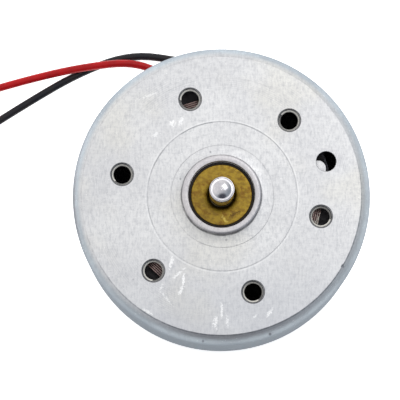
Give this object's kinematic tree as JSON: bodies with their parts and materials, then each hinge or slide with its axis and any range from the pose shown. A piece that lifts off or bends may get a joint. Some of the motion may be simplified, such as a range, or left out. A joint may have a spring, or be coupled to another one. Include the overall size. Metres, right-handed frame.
{
  "type": "flat brushed DC motor",
  "caption": "Small flat round brushed DC motor with an output shaft in a bronze bush, a circle of tapped mounting holes in its face, and red and black leads.",
  "frame": {"origin": "on the shaft's axis, at the bottom of the rear boss that the motor stands on", "axes": "+Z along the shaft, out of the output end; +Y towards the side where the leads come out; the leads run to -X"},
  "size_m": [0.041, 0.0257, 0.0198],
  "materials": {
    "zinc_steel": "zinc plated, satin",
    "bronze": "sintered, oily",
    "shaft_steel": "ground and polished",
    "core_iron": "stamped, oiled",
    "copper_wire": "enamelled",
    "magnet_ferrite": "fired, matt",
    "spring_steel": "bright",
    "nylon_white": "moulded",
    "insulator_card": "pressed card, matt",
    "holder_black": "moulded, fine texture",
    "hub_brown": "moulded phenolic",
    "contact_brass": "stamped",
    "bar_copper": "turned",
    "carbon": "pressed carbon",
    "damper_rubber": "moulded",
    "varistor_grey": "fired",
    "solder_tin": "reflowed, bright",
    "red_sleeve": "extruded",
    "black_sleeve": "extruded",
    "tinned_strand": "tinned",
    "tie_paper": "plain"
  },
  "bodies": {
    "motor_body": {"case": "zinc_steel", "front_bush": "bronze", "rear_cover": "zinc_steel", "rear_bush": "bronze", "thrust_pad": "nylon_white", "magnet_north": "magnet_ferrite", "magnet_south": "magnet_ferrite", "magnet_spring": "spring_steel", "magnet_stop": "spring_steel", "brush_holder": "holder_black", "terminal_positive": "contact_brass", "terminal_negative": "contact_brass", "brush_arm_positive": "contact_brass", "brush_arm_negative": "contact_brass", "brush_positive": "carbon", "brush_negative": "carbon", "brush_damper_positive": "damper_rubber", "brush_damper_negative": "damper_rubber", "solder_positive": "solder_tin", "solder_negative": "solder_tin", "red_lead": "red_sleeve", "red_lead_coil": "red_sleeve", "red_lead_end": "red_sleeve", "red_lead_tip": "tinned_strand", "black_lead": "black_sleeve", "black_lead_coil": "black_sleeve", "black_lead_end": "black_sleeve", "black_lead_tip": "tinned_strand", "lead_tie": "tie_paper"},
    "rotor": {"shaft": "shaft_steel", "laminations": "core_iron", "insulator_front": "insulator_card", "insulator_rear": "insulator_card", "coil_a": "copper_wire", "coil_b": "copper_wire", "coil_c": "copper_wire", "commutator_hub": "hub_brown", "commutator_bars": "bar_copper", "commutator_ring": "nylon_white", "varistor": "varistor_grey", "varistor_solder": "solder_tin", "rotor_collar": "contact_brass", "nylon_washer": "nylon_white", "steel_washer": "spring_steel", "rear_washer": "nylon_white"}
  },
  "joints": [
    {"name": "rotor_spin", "type": "hinge", "parent": "motor_body", "child": "rotor", "pos_m": [0, 0, 0], "axis": [0, 0, 1], "continuous": true}
  ]
}
